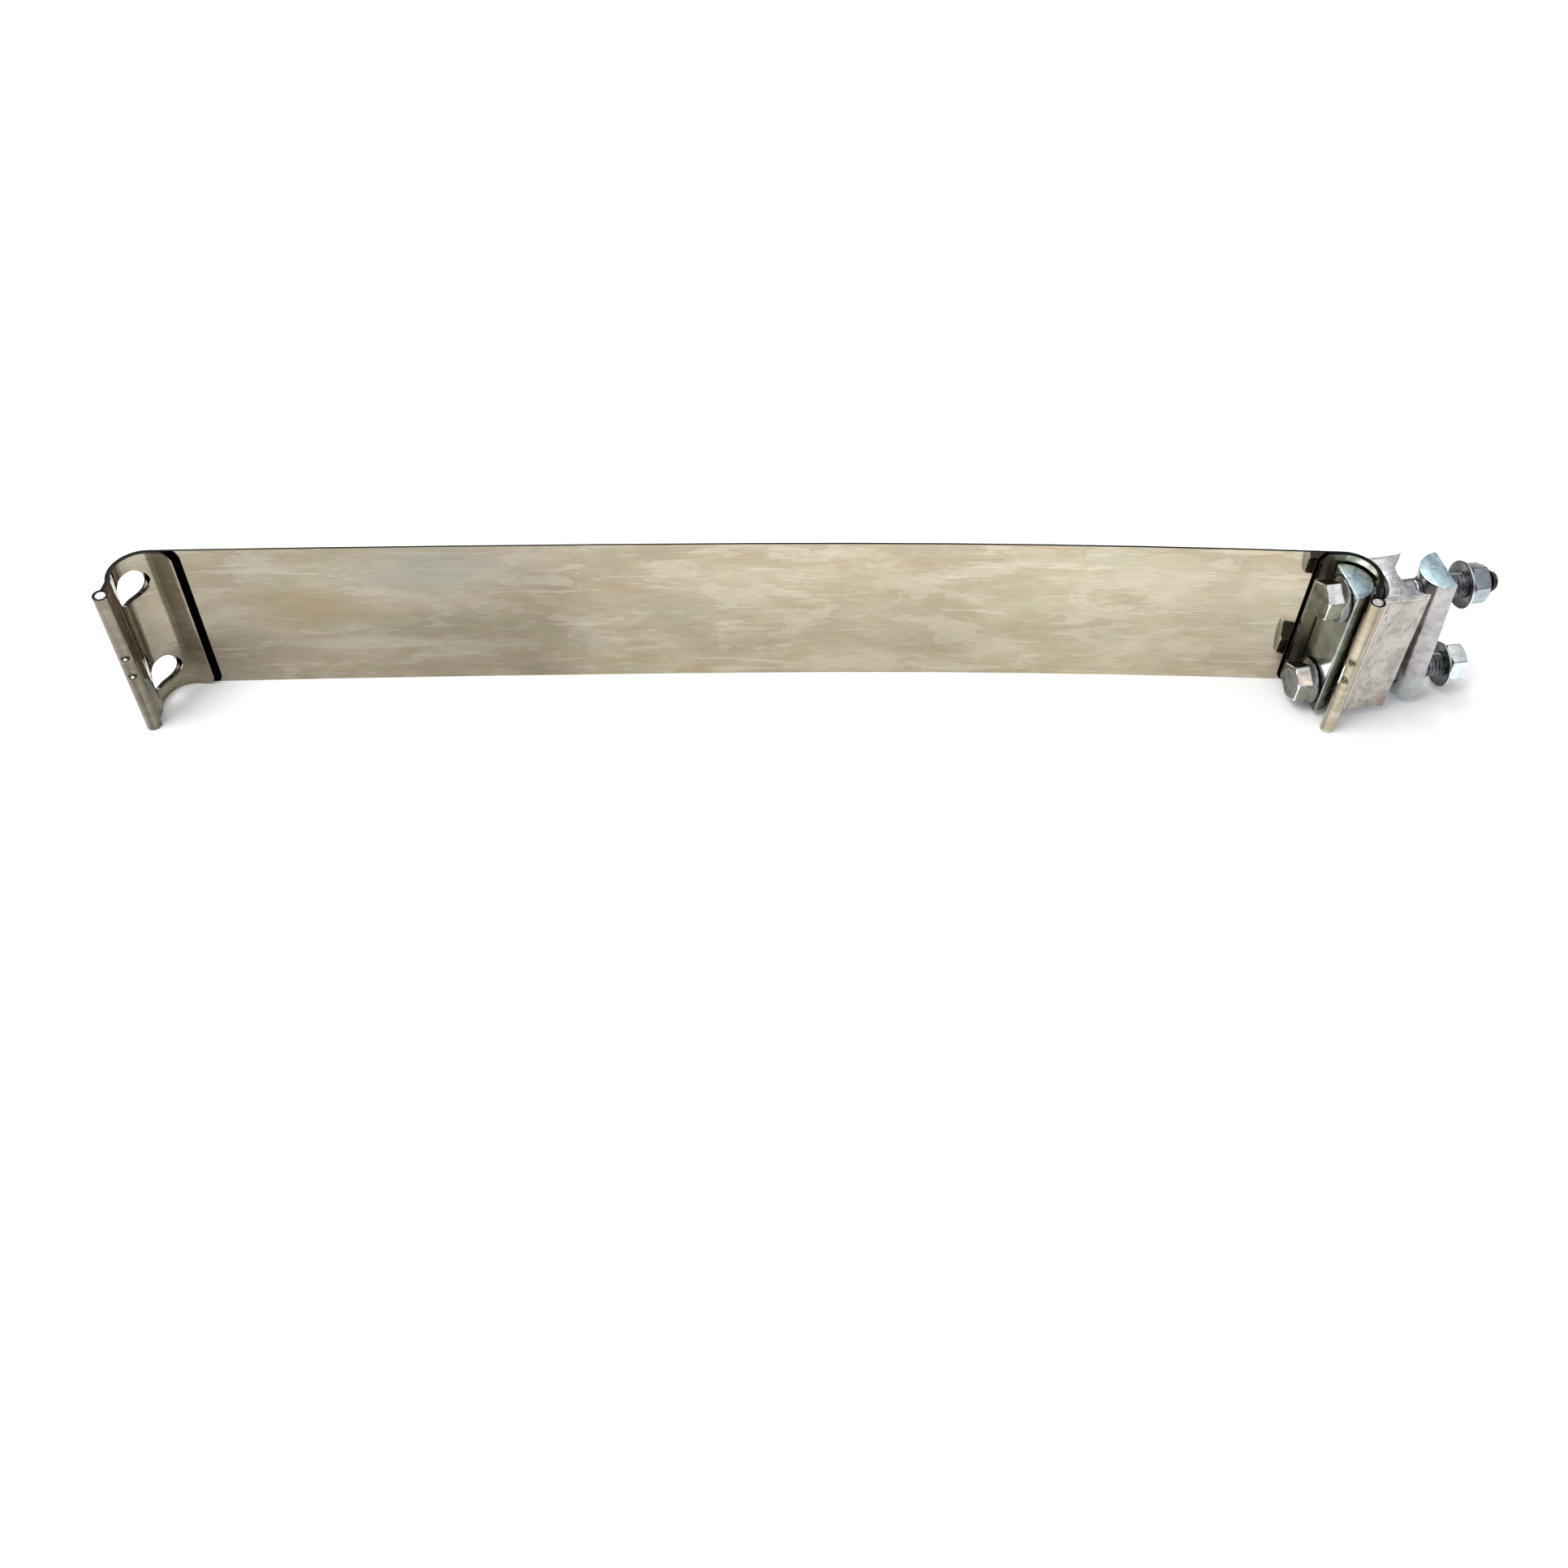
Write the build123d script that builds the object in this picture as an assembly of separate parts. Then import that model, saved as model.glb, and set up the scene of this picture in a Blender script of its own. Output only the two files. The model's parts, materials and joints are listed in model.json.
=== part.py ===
from build123d import *
import os
from math import atan2, copysign, cos, degrees, radians, sin, sqrt

# Flat-supplied band clamp for a 6 inch pipe. Millimetres, +Z up.
# +X runs along the band to its bolted end, +Y is the pipe side, -Y the hook side.

# Band strip
sheet = 0.9                 # strip thickness
layer_gap = 0.2             # slack between the two layers of a folded end
band_width = 70.0
left_run, left_bow = 226.5, 12000.0      # strip length and bow radius of each half
right_run, right_bow = 226.5, 3800.0

# Hooks, alike but for how far each is bent
hook_radius = 11.0          # concave face
hook_open = 25.0            # degrees that the bend passes a right angle
left_close, right_close = -8.0, 12.0     # degrees that each bend goes on past that
throat_radius = 2.0         # outer layer's reverse bend into the neck
neck = 3.6
hem_blend = 1.2
rod_radius = 2.0
rod_slack = 0.05
tail = 7.0                  # flat end of the inner layer
tail_lift = 5.0             # degrees that it springs away from the band
tail_corner = 4.5
bump_radius = 1.0           # stake marks on the hem
bump_sunk = 0.4             # how far a mark's centre lies under the hem's surface
bump_spacing = 9.5
bump_angle = 25.0           # degrees from straight out, towards the mouth

# Slots through each hook: degrees along the bend from where it leaves the band
inner_slot = (13.0, 107.0, 13.0)         # start, end, height
outer_slot = (25.0, 107.0, 12.5)

# Bolts, 3/8-16 UNC
bolt_spacing = 45.0
bolt_yaw = 11.9             # degrees that the bolts lean to the pipe side of the hook's own direction
bolt_radius = 9.525 / 2
bolt_length = 64.3          # under the head
tip_chamfer = 1.0
hex_across = 14.29
flange_radius = 9.525
flange_edge = 1.3
head_height = 8.5
nut_height = 7.3
upper_nut_turn, lower_nut_turn = 4.0, -16.0     # degrees from a corner straight up
thread_slack = 0.05
seat_gap = 0.1

# Half-round bars
bar_radius = 10.2
bar_length = 63.0
bar_edge = 0.5
bar_hole = 5.3
nut_bar_radius = 10.8
nut_bar_hole = 5.6
nut_bar_offset = 0.4        # its arc's centre is this much nearer the outer side than the bolts
nut_bar_trim = 9.7          # its outer edge is cut flat this far from the bolts
nut_bar_seat = 43.9         # from the bend's centre to the flat face, at mid width
nut_bar_tilt = 4.5

# Block between the hooks
block_height = 62.0
block_near, block_far = -11.7, 12.6
recess_radius = 14.0
left_recess = 2.0, 0.0      # centres of the two recesses
right_recess = 35.8, 0.9
pipe_radius = 76.2
block_hole = 5.5
block_tip = 0.6

# Conical washers and where they sit
washer_radius = 9.5
washer_hole = 5.0
washer_sheet = 1.2
washer_dish = 0.8
upper_washer_at, lower_washer_at = 49.6, 56.2

inner_bend = hook_radius + sheet / 2
outer_bend = inner_bend + sheet + layer_gap
hook_outside = outer_bend + sheet / 2
hem_bend = rod_radius + rod_slack + sheet / 2
mid_width = band_width / 2


# ---- bent strip: a pose is (x, y, heading), a run is (length, 0) or (radius, turn in degrees) ----
def beside(pose, offset):
    """Point at an offset to the left of a pose."""
    x, y, heading = pose
    return x - offset * sin(radians(heading)), y + offset * cos(radians(heading))


def advance(pose, run):
    """Pose at the end of one run."""
    x, y, heading = pose
    size, turn = run
    if turn == 0:
        return x + size * cos(radians(heading)), y + size * sin(radians(heading)), heading
    side = copysign(size, turn)
    centre_x, centre_y = beside(pose, side)
    ahead = heading + turn
    return centre_x + side * sin(radians(ahead)), centre_y - side * cos(radians(ahead)), ahead


def walk(pose, runs):
    """Pose after every run, the first one included."""
    poses = [pose]
    for run in runs:
        poses.append(advance(poses[-1], run))
    return poses


def strip_face(pose, runs, thickness):
    """Outline of a strip whose centreline follows the runs."""
    left, right = [], []
    for run in runs:
        size, turn = run
        middle = advance(pose, (size, turn / 2) if turn else (size / 2, 0))
        end = advance(pose, run)
        for edges, offset in ((left, thickness / 2), (right, -thickness / 2)):
            a, b, c = (beside(p, offset) for p in (pose, middle, end))
            edges.append(ThreePointArc(a, b, c) if turn else Line(a, c))
        pose = end
    caps = [Line(left[0] @ 0, right[0] @ 0), Line(left[-1] @ 1, right[-1] @ 1)]
    return make_face(left + right + caps)


# ---- the band's centreline ----
neck_half = (sheet + layer_gap) / 2
blend_turn = degrees(atan2(sqrt((hem_bend + hem_blend) ** 2 - (hem_blend + neck_half) ** 2),
                           hem_blend + neck_half))


def hook_runs(close):
    """Runs of a hook from the band round to its free end."""
    return [
        (outer_bend, -90 - hook_open - close),
        (throat_radius, hook_open),
        (neck, 0),
        (hem_blend, blend_turn),
        (hem_bend, -180 - 2 * blend_turn),
        (hem_blend, blend_turn),
        (neck, 0),
        (throat_radius + sheet + layer_gap, -hook_open),
        (inner_bend, 90 + hook_open + close + tail_lift),
        (tail, 0),
    ]


band_runs = [(left_bow, -degrees(left_run / left_bow)), (right_bow, -degrees(right_run / right_bow))]

chord_x, chord_y, _ = walk((0, 0, 0), band_runs)[-1]
left_start = (0, 0, -degrees(atan2(chord_y, chord_x)))     # both ends of the band's run at y = 0
right_start = walk(left_start, band_runs)[-1]

outward = (left_start[0], left_start[1], left_start[2] + 180)
left_poses = walk(outward, [(size, -turn) for size, turn in hook_runs(left_close)])
free_x, free_y, free_heading = left_poses[-1]
strip_start = (free_x, free_y, free_heading + 180)
strip_runs = hook_runs(left_close)[::-1] + band_runs + hook_runs(right_close)
hooks = ((left_start, -1, left_close), (right_start, 1, right_close))


def hem_centre(start, side, close):
    """Centre of the hem loop of the hook that begins at a pose; side is +1 for the right hook."""
    runs = [(size, turn * side) for size, turn in hook_runs(close)[:4]]
    heading_out = start if side > 0 else (start[0], start[1], start[2] + 180)
    return beside(walk(heading_out, runs)[-1], -side * hem_bend)


def bend_centre(start):
    """Centre of the hook's bend that begins at a pose."""
    return beside(start, -outer_bend)


def bend_slot(inside, outside, start, end, height):
    """Cutter for a round-ended slot wrapped along a bend, on a right-hand hook centred on Z."""
    middle = (inside + outside) / 2
    reach = degrees(height / 2 / middle)
    profile = Plane.XZ * Pos(middle, 0) * Rectangle(outside - inside, height)
    cutter = Rot(Z=90 - end + reach) * revolve(profile, Axis.Z, end - start - 2 * reach)
    wall = Cylinder(outside, height) - Cylinder(inside, height)
    for angle in (90 - end + reach, 90 - start - reach):
        round_end = Pos(middle, 0, 0) * Rot(Y=90) * Cylinder(height / 2, middle)
        cutter += (Rot(Z=angle) * round_end) & wall
    return cutter


def clamp_band():
    """The strip, folded back around both rods, with its four slots and stake marks."""
    band = extrude(strip_face(strip_start, strip_runs, sheet), band_width)
    corners = band.edges().filter_by(lambda edge: abs(edge.length - sheet) < 0.001)
    band = fillet(corners, tail_corner)
    between = hook_radius + sheet + layer_gap / 2
    for start, side, close in hooks:
        centre = bend_centre(start)
        for across in (-bolt_spacing / 2, bolt_spacing / 2):
            for inside, outside, slot in ((hook_radius - 2, between, inner_slot),
                                          (between, hook_outside + 2, outer_slot)):
                first, last, height = slot
                cutter = bend_slot(inside, outside, first, last + close, height)
                if side < 0:
                    cutter = mirror(cutter, Plane.YZ)
                band -= Pos(*centre, mid_width + across) * Rot(Z=start[2]) * cutter
        hem_x, hem_y = hem_centre(start, side, close)
        out = radians(start[2] - 90 - side * (bump_angle + close))
        reach = hem_bend + sheet / 2 - bump_sunk
        for across in (-bump_spacing / 2, bump_spacing / 2):
            band += Pos(hem_x + reach * cos(out), hem_y + reach * sin(out), mid_width + across) * Sphere(bump_radius)
        band -= Pos(hem_x, hem_y, mid_width) * Cylinder(rod_radius + rod_slack, band_width)
    return band


def hem_rod(start, side, close):
    """Rod that the hem is folded around."""
    return Pos(*hem_centre(start, side, close), mid_width) * Cylinder(rod_radius, band_width)


# ---- bolted end: X along the bolts from the bend's centre, Y to the pipe side ----
def half_round_bar(radius, hole, offset=0, trim=None):
    """Half-round bar, flat face on X = 0 and round to +X, drilled for both bolts."""
    arc = CenterArc((0, offset), radius, -90, 180)
    profile = make_face([arc, Line(arc @ 1, arc @ 0)])
    if trim:
        profile -= Pos(0, trim + radius) * Rectangle(4 * radius, 2 * radius)
    bar = Pos(0, 0, mid_width - bar_length / 2) * extrude(profile, bar_length)
    bar = chamfer(bar.edges().filter_by(GeomType.CIRCLE), bar_edge)
    for across in (-bolt_spacing / 2, bolt_spacing / 2):
        bar -= Pos(radius / 2, 0, mid_width + across) * Rot(Y=90) * Cylinder(hole, 2 * radius)
    return bar


def hook_bar():
    return half_round_bar(bar_radius, bar_hole)


def nut_bar():
    """Second bar, round side to the block, tilted as it hangs loose on the bolts."""
    half = nut_bar_radius / 2
    bar = half_round_bar(nut_bar_radius, nut_bar_hole, nut_bar_offset, nut_bar_trim)
    bar = Pos(-half, 0, -mid_width) * bar
    return Pos(nut_bar_seat - half, 0, mid_width) * Rot(Y=-nut_bar_tilt) * Rot(Z=180) * bar


def reaction_block():
    """Hourglass block: a round recess for each hook, flat outside, curved to the pipe inside."""
    length = right_recess[0] - left_recess[0]
    centre = (left_recess[0] + right_recess[0]) / 2
    width = block_far - block_near
    profile = Pos(centre, (block_near + block_far) / 2) * Rectangle(length, width)
    profile -= Pos(*left_recess) * Circle(recess_radius)
    profile -= Pos(*right_recess) * Circle(recess_radius)
    tip_x = length / 2 - sqrt(recess_radius ** 2 - block_far ** 2)
    pipe_centre = block_far + sqrt(pipe_radius ** 2 - tip_x ** 2)
    profile -= Pos(centre, pipe_centre) * Circle(pipe_radius)
    near_corners = profile.vertices().filter_by(lambda v: abs(v.Y - block_near) < 0.01)
    profile = fillet(near_corners, block_tip)
    block = Pos(0, 0, mid_width - block_height / 2) * extrude(profile, block_height)
    for across in (-bolt_spacing / 2, bolt_spacing / 2):
        block -= Pos(centre, 0, mid_width + across) * Rot(Y=90) * Cylinder(block_hole, length)
    return block


def hex_prism(height, chamfered_ends):
    """Hexagon along +X from X = 0, its corners turned down at the chosen ends."""
    hexagon = extrude(RegularPolygon(hex_across / 2, 6, major_radius=False), height)
    corner = hex_across / sqrt(3)
    blank = Pos(0, 0, height / 2) * Cylinder(corner, height)
    drop = corner - hex_across / 2
    ends = [edge for edge in blank.edges().filter_by(GeomType.CIRCLE)
            if (edge.center().Z < height / 2 and "low" in chamfered_ends)
            or (edge.center().Z > height / 2 and "high" in chamfered_ends)]
    return hexagon & chamfer(ends, drop * 0.6, drop)


def flange(rise):
    """Round flange from Z = 0 that tapers into a hexagon standing on it."""
    disc = Pos(0, 0, flange_edge / 2) * Cylinder(flange_radius, flange_edge)
    cone = Pos(0, 0, flange_edge + rise / 2) * Cone(flange_radius, hex_across / 2, rise)
    return disc + cone


def along_bolt(x, across, piece):
    """Stand a piece made along +Z onto a bolt's axis."""
    return Pos(x, 0, mid_width + across) * Rot(Y=90) * piece


def bolt(across):
    """Hex flange bolt: the head behind X = 0, the shank to +X."""
    head = flange(1.2) + hex_prism(head_height, ["high"])
    shank = Pos(0, 0, bolt_length / 2) * Cylinder(bolt_radius, bolt_length)
    tip = shank.edges().filter_by(GeomType.CIRCLE).sort_by(Axis.Z)[-1]
    shank = chamfer(tip, tip_chamfer)
    return along_bolt(-seat_gap, across, Rot(X=180) * head + shank)


def conical_washer(at, across):
    """Dished washer, its hollow side towards the half-round bar."""
    outline = Polyline((washer_radius, 0), (washer_radius, washer_sheet),
                       (washer_hole, washer_sheet + washer_dish), (washer_hole, washer_dish), close=True)
    dish = revolve(Plane.XZ * make_face(outline), Axis.Z)
    return along_bolt(at, across, dish)


def nut(washer_at, across, turn):
    """Hex nut that bears on the top of its conical washer."""
    body = hex_prism(nut_height, ["low", "high"])
    body -= Pos(0, 0, nut_height / 2) * Cylinder(bolt_radius + thread_slack, nut_height)
    return along_bolt(washer_at + washer_sheet + washer_dish + seat_gap, across, Rot(Z=turn) * body)


upper, lower = bolt_spacing / 2, -bolt_spacing / 2
bolt_frame = Pos(*bend_centre(right_start)) * Rot(Z=right_start[2] + bolt_yaw)

nodes = {
    "clamp_band": clamp_band(),
    "left_hem_rod": hem_rod(*hooks[0]),
    "right_hem_rod": hem_rod(*hooks[1]),
    "hook_bar": bolt_frame * hook_bar(),
    "reaction_block": bolt_frame * reaction_block(),
    "nut_bar": bolt_frame * nut_bar(),
    "upper_bolt": bolt_frame * bolt(upper),
    "lower_bolt": bolt_frame * bolt(lower),
    "upper_washer": bolt_frame * conical_washer(upper_washer_at, upper),
    "lower_washer": bolt_frame * conical_washer(lower_washer_at, lower),
    "upper_nut": bolt_frame * nut(upper_washer_at, upper, upper_nut_turn),
    "lower_nut": bolt_frame * nut(lower_washer_at, lower, lower_nut_turn),
}

# Origin on the ground under the middle of the whole clamp
boxes = [shape.bounding_box() for shape in nodes.values()]
middle_x = (min(box.min.X for box in boxes) + max(box.max.X for box in boxes)) / 2
middle_y = (min(box.min.Y for box in boxes) + max(box.max.Y for box in boxes)) / 2
ground = min(box.min.Z for box in boxes)
to_origin = Pos(-middle_x, -middle_y, -ground)

os.makedirs("parts", exist_ok=True)
for name, shape in nodes.items():
    export_step(to_origin * shape, f"parts/{name}.step")
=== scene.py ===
import json
from math import atan2, cos, hypot, pi, radians, sin, sqrt, tan

import bmesh
import bpy
from mathutils import geometry, Matrix, Vector, noise
from mathutils.bvhtree import BVHTree


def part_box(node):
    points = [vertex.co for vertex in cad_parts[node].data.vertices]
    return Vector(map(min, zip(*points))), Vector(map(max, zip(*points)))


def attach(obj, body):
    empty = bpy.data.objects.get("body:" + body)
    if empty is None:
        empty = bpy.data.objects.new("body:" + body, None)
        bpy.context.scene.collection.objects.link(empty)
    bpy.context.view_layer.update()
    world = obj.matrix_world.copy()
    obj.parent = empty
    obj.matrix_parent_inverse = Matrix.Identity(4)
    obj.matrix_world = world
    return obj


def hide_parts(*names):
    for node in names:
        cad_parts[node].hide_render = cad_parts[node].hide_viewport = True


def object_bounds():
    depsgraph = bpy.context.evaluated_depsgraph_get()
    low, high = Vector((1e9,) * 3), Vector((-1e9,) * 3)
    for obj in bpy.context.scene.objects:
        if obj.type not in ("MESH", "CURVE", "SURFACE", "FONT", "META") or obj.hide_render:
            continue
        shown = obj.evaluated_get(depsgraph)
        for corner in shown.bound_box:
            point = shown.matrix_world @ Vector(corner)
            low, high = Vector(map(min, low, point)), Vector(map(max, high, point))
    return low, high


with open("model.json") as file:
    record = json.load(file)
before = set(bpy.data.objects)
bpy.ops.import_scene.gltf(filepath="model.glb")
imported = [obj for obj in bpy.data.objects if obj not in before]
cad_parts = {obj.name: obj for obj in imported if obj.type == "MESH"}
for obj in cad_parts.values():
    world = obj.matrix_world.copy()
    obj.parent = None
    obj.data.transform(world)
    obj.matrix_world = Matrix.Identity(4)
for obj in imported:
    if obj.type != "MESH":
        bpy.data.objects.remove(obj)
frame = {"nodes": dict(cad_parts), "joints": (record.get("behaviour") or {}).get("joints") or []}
cad_low, cad_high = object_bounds()

MM = 0.001

# The bolts' frame: X along the bolts from the hook bar's swing axis, Y to the pipe side, Z up from mid height
joints = {joint["name"]: joint for joint in frame["joints"]}
along = Vector(joints["upper_bolt_spin"]["axis"]).normalized()
bend = Vector(joints["bar_swing"]["pos_m"])
bolt_frame = Matrix((along, Vector((-along.y, along.x, 0)), Vector((0, 0, 1)))).transposed().to_4x4()
bolt_frame.translation = (bend.x, bend.y, (cad_low.z + cad_high.z) / 2)

# Sizes in millimetres
band_width = 70
mid_width = band_width / 2
tail_corner = 4.5           # corner radius of the strip's free ends
tail_back = 11.1            # the free ends are at a lower Y than this, the band behind them at a higher one
stake_side = 4.75           # the stake marks are this far above and below mid width
bolt_side = 22.5            # so are the bolts
bar_length = 63.0
hex_half = 14.29 / 2
flange_radius = 9.525
pitch = 25.4 / 16
thread_radius = 9.525 / 2


# ---- meshes ----
def smooth_by_angle(mesh, degrees):
    """Smooth faces, with every edge sharper than the angle kept sharp."""
    bm = bmesh.new()
    bm.from_mesh(mesh)
    for face in bm.faces:
        face.smooth = True
    for edge in bm.edges:
        edge.smooth = len(edge.link_faces) == 2 and edge.calc_face_angle() < radians(degrees)
    bm.to_mesh(mesh)
    bm.free()


def build(name, points, faces, material, at=None, crease=32, cutters=()):
    """Object from points in millimetres, its holes cut, its sharp edges marked."""
    mesh = bpy.data.meshes.new(name)
    mesh.from_pydata([Vector(p) * MM for p in points], [], faces)
    bm = bmesh.new()
    bm.from_mesh(mesh)
    bmesh.ops.remove_doubles(bm, verts=bm.verts, dist=1e-7)
    bmesh.ops.recalc_face_normals(bm, faces=bm.faces)
    bm.to_mesh(mesh)
    bm.free()
    piece = bpy.data.objects.new(name, mesh)
    bpy.context.scene.collection.objects.link(piece)
    if cutters:
        for cutter in cutters:
            cut = piece.modifiers.new("cut", "BOOLEAN")
            cut.operation, cut.solver, cut.object = "DIFFERENCE", "EXACT", cutter
        bpy.context.view_layer.update()
        shaped = bpy.data.meshes.new_from_object(piece.evaluated_get(bpy.context.evaluated_depsgraph_get()))
        piece.modifiers.clear()
        piece.data = shaped
        for cutter in cutters:
            bpy.data.objects.remove(cutter)
    piece.data.materials.clear()
    piece.data.materials.append(material)
    smooth_by_angle(piece.data, crease)
    piece.matrix_world = at if at else Matrix()
    return piece


def skin(rows, close_start=True, close_end=True):
    """Points and faces of a surface through closed rows, with a fan at each closed end."""
    count = len(rows[0])
    points = [p for row in rows for p in row]
    faces = []
    for i in range(len(rows) - 1):
        for j in range(count):
            a, b = i * count + j, i * count + (j + 1) % count
            faces.append((a, b, b + count, a + count))
    for closed, row, first in ((close_start, rows[0], 0), (close_end, rows[-1], (len(rows) - 1) * count)):
        if closed:
            middle = sum((Vector(p) for p in row), Vector()) / count
            points.append(tuple(middle))
            faces += [(first + j, first + (j + 1) % count, len(points) - 1) for j in range(count)]
    return points, faces


def ring(x, radius, angles):
    """Closed row of points round the X axis; its place and radius may vary with the angle."""
    row = []
    for angle in angles:
        r = radius(angle) if callable(radius) else radius
        ax = x(angle) if callable(x) else x
        row.append((ax, r * cos(angle), r * sin(angle)))
    return row


def around(count):
    return [2 * pi * i / count for i in range(count)]


# Angles round a hexagon, closer together at its corners
hex_angles = [radians(60 * k + a) for k in range(6)
              for a in (-30, -28.4, -26, -20, -13, -6, 0, 6, 13, 20, 26, 28.4)]

def hexagon(inset=0.0):
    """Radius of the hexagon at an angle, its corners a little worn."""
    def radius(angle):
        off = (angle + pi / 6) % (pi / 3) - pi / 6
        return min(hex_half / cos(off), hex_half * 1.137) - inset
    return radius


def turned(x_end, face_radius, slope, direction, shift):
    """Where a cone that turns the hexagon's corners down meets the hexagon at each angle."""
    def x(angle):
        face = face_radius(angle) if callable(face_radius) else face_radius
        return x_end - direction * ((hexagon()(angle) - face) * slope + shift)
    return x


# ---- procedural materials ----
class Look:
    """A Principled material and short ways to add nodes to it."""

    def __init__(self, name, metallic, roughness):
        self.material = bpy.data.materials.new(name)
        self.material.use_nodes = True
        self.tree = self.material.node_tree
        self.shader = self.tree.nodes["Principled BSDF"]
        self.shader.inputs["Metallic"].default_value = metallic
        self.shader.inputs["Roughness"].default_value = roughness
        self.place = self.add("ShaderNodeTexCoord").outputs["Object"]

    def add(self, kind, inputs=None, **settings):
        node = self.tree.nodes.new(kind)
        for key, value in settings.items():
            setattr(node, key, value)
        for key, value in (inputs or {}).items():
            if isinstance(value, bpy.types.NodeSocket):
                self.tree.links.new(value, node.inputs[key])
            else:
                node.inputs[key].default_value = value
        return node

    def stretched(self, scale, offset=(0, 0, 0), turn=(0, 0, 0)):
        inputs = {"Vector": self.place, "Scale": scale, "Location": offset, "Rotation": turn}
        return self.add("ShaderNodeMapping", inputs).outputs["Vector"]

    def noise(self, scale, detail=3, stretch=(1, 1, 1), offset=(0, 0, 0), roughness=0.5, distortion=0.0,
              turn=(0, 0, 0)):
        inputs = {"Vector": self.stretched(stretch, offset, turn), "Scale": scale, "Detail": detail,
                  "Roughness": roughness, "Distortion": distortion}
        return self.add("ShaderNodeTexNoise", inputs).outputs["Fac"]

    def cells(self, scale, stretch=(1, 1, 1), offset=(0, 0, 0)):
        inputs = {"Vector": self.stretched(stretch, offset), "Scale": scale}
        return self.add("ShaderNodeTexVoronoi", inputs).outputs["Distance"]

    def ramp(self, factor, *stops):
        """Colour ramp; a stop is (place, colour or grey)."""
        node = self.add("ShaderNodeValToRGB", {"Fac": factor})
        elements = node.color_ramp.elements
        while len(elements) < len(stops):
            elements.new(0.5)
        for element, (place, value) in zip(elements, stops):
            element.position = place
            element.color = (*value, 1) if isinstance(value, tuple) else (value, value, value, 1)
        return node.outputs["Color"]

    def mix(self, factor, first, second, mode="MIX"):
        node = self.add("ShaderNodeMix", data_type="RGBA", blend_type=mode)
        for socket, value in ((node.inputs[0], factor), (node.inputs[6], first), (node.inputs[7], second)):
            if isinstance(value, bpy.types.NodeSocket):
                self.tree.links.new(value, socket)
            else:
                socket.default_value = (*value, 1) if isinstance(value, tuple) else value
        return node.outputs[2]

    def tinted(self, colour, by):
        return self.mix(1.0, colour, by, "MULTIPLY")

    def maths(self, operation, first, second=0.0, third=0.0):
        return self.add("ShaderNodeMath", {0: first, 1: second, 2: third}, operation=operation).outputs[0]

    def times(self, *factors):
        product = factors[0]
        for factor in factors[1:]:
            product = self.maths("MULTIPLY", product, factor)
        return product

    def between(self, value, start, end):
        """0 as far as the start and 1 from the end on; the end may be the lower of the two."""
        return self.add("ShaderNodeMapRange", {"Value": value, "From Min": start, "From Max": end},
                        clamp=True).outputs["Result"]

    def part(self, axis):
        """One part of the surface's place, in the piece's frame."""
        return self.add("ShaderNodeSeparateXYZ", {0: self.place}).outputs[axis]

    def near(self, centre, radii, ragged=None, amount=0.0, soft=0.5):
        """1 inside an ellipsoid in millimetres and 0 outside, its border soft and made ragged by a noise."""
        offset = self.add("ShaderNodeVectorMath", {0: self.place, 1: [c * MM for c in centre]},
                          operation="SUBTRACT").outputs[0]
        scaled = self.add("ShaderNodeVectorMath", {0: offset, 1: [r * MM for r in radii]},
                          operation="DIVIDE").outputs[0]
        reach = self.add("ShaderNodeVectorMath", {0: scaled}, operation="LENGTH").outputs["Value"]
        if ragged:
            reach = self.maths("ADD", reach, self.maths("MULTIPLY_ADD", ragged, 2 * amount, -amount))
        node = self.add("ShaderNodeMapRange", {"Value": reach, "From Min": 1 - soft, "From Max": 1 + soft,
                                               "To Min": 1.0, "To Max": 0.0}, interpolation_type="SMOOTHSTEP")
        return node.outputs["Result"]

    def facing(self, axis):
        """One part of the surface's own direction, in the piece's frame."""
        direction = self.add("ShaderNodeTexCoord").outputs["Normal"]
        return self.add("ShaderNodeSeparateXYZ", {0: direction}).outputs[axis]

    def bump(self, height, distance, strength=1.0, under=None):
        inputs = {"Height": height, "Distance": distance * MM, "Strength": strength}
        if under:
            inputs["Normal"] = under
        return self.add("ShaderNodeBump", inputs).outputs["Normal"]

    def set(self, **links):
        for socket, value in links.items():
            self.tree.links.new(value, self.shader.inputs[socket.replace("_", " ")])
        return self.material


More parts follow.
